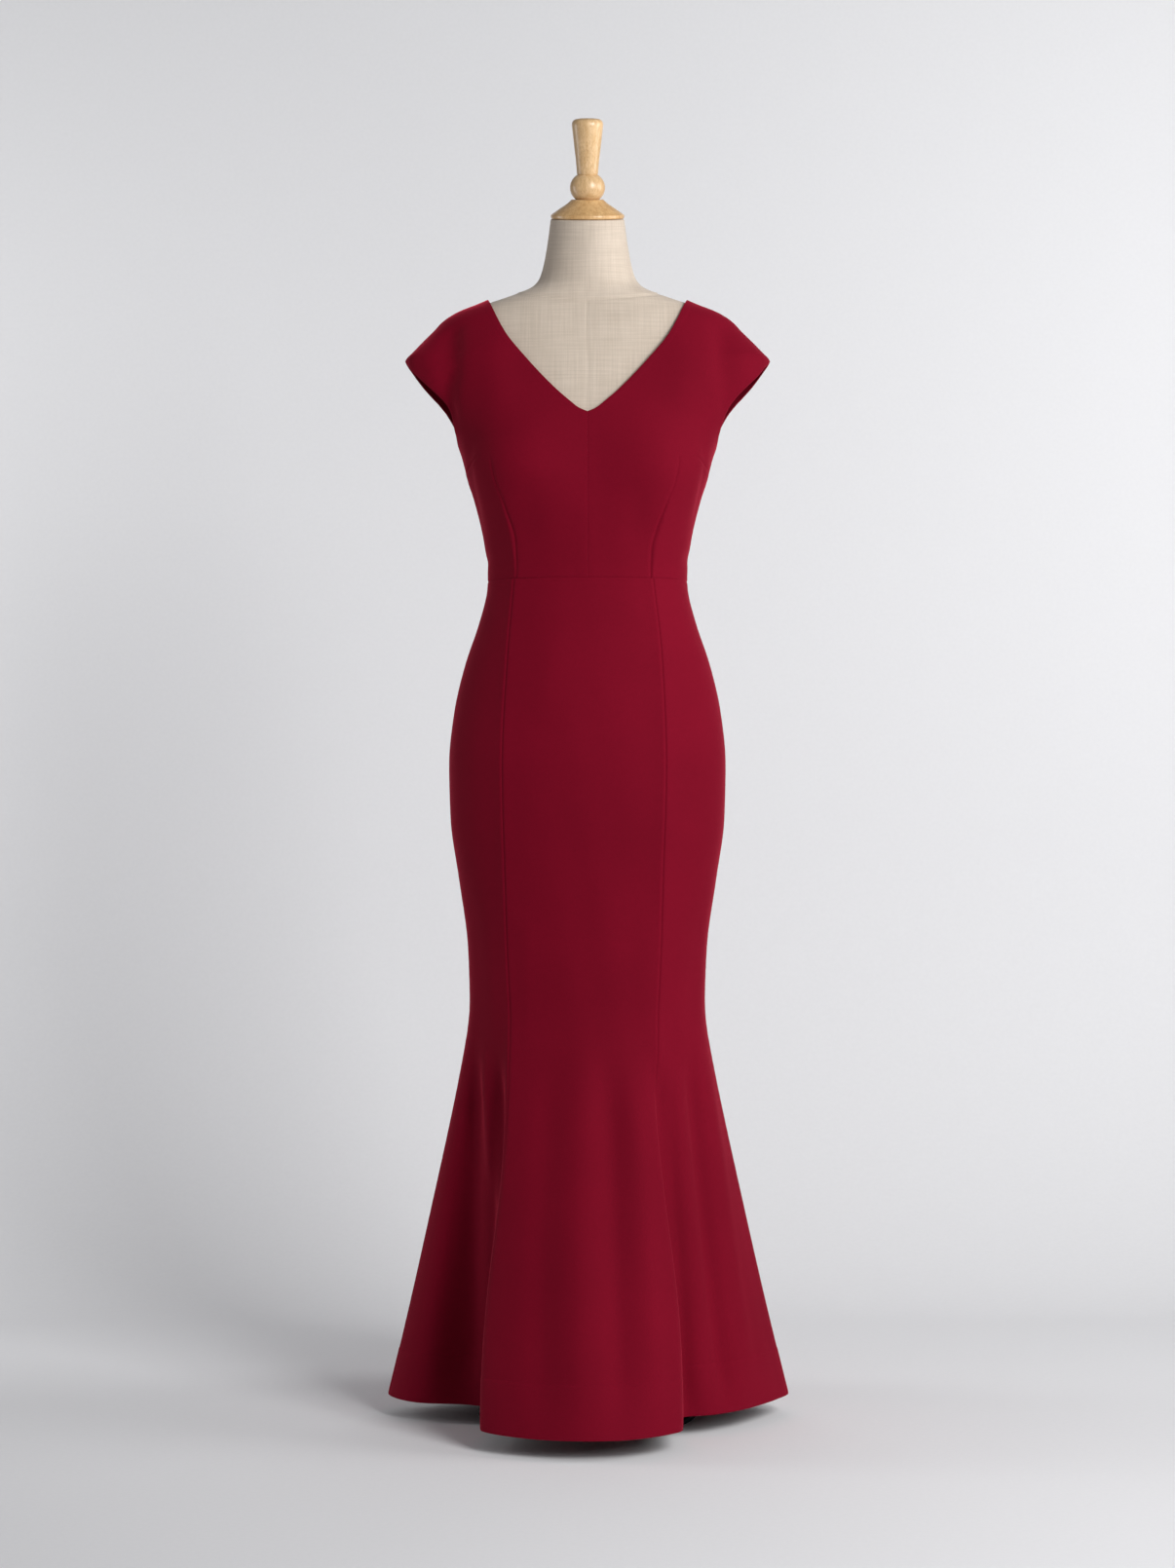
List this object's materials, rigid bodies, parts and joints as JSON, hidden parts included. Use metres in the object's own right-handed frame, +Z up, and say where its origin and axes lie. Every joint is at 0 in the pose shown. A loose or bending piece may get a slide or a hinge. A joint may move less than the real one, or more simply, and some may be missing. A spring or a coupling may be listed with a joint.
{
  "type": "mermaid gown on a dress form",
  "caption": "Floor-length mermaid gown with a V neck and cap sleeves, standing on a limbless dress form with a wooden neck cap, pole and round base.",
  "frame": {"origin": "centre of the round base's underside, on the floor", "axes": "+Z up, -Y the front of the gown, +X the wearer's left"},
  "size_m": [0.5111, 0.5429, 1.6585],
  "materials": {
    "crepe": "matte crepe with a soft sheen, dark wine red",
    "linen": "natural plain-weave linen",
    "wood": "turned pale wood, satin varnish",
    "stand_steel": "dark satin enamel",
    "zip_enamel": "wine red enamel"
  },
  "bodies": {
    "gown": {"bodice_front_left": "crepe", "bodice_front_right": "crepe", "bodice_back_left": "crepe", "bodice_back_right": "crepe", "skirt_front_centre": "crepe", "skirt_front_side_left": "crepe", "skirt_front_side_right": "crepe", "skirt_back_side_left": "crepe", "skirt_back_side_right": "crepe", "skirt_back_centre_left": "crepe", "skirt_back_centre_right": "crepe", "zip_slider": "zip_enamel", "form_body": "linen", "neck_cap": "wood", "finial": "wood", "pole_flange": "stand_steel", "stand_pole": "stand_steel", "stand_collar": "stand_steel", "stand_base": "stand_steel"},
    "zip_pull": {"zip_pull": "zip_enamel"}
  },
  "joints": [
    {"name": "zip_pull_hinge", "type": "hinge", "parent": "gown", "child": "zip_pull", "pos_m": [0, 0.09967, 1.35357], "axis": [1, 0, 0], "range_deg": [0, 160]}
  ]
}
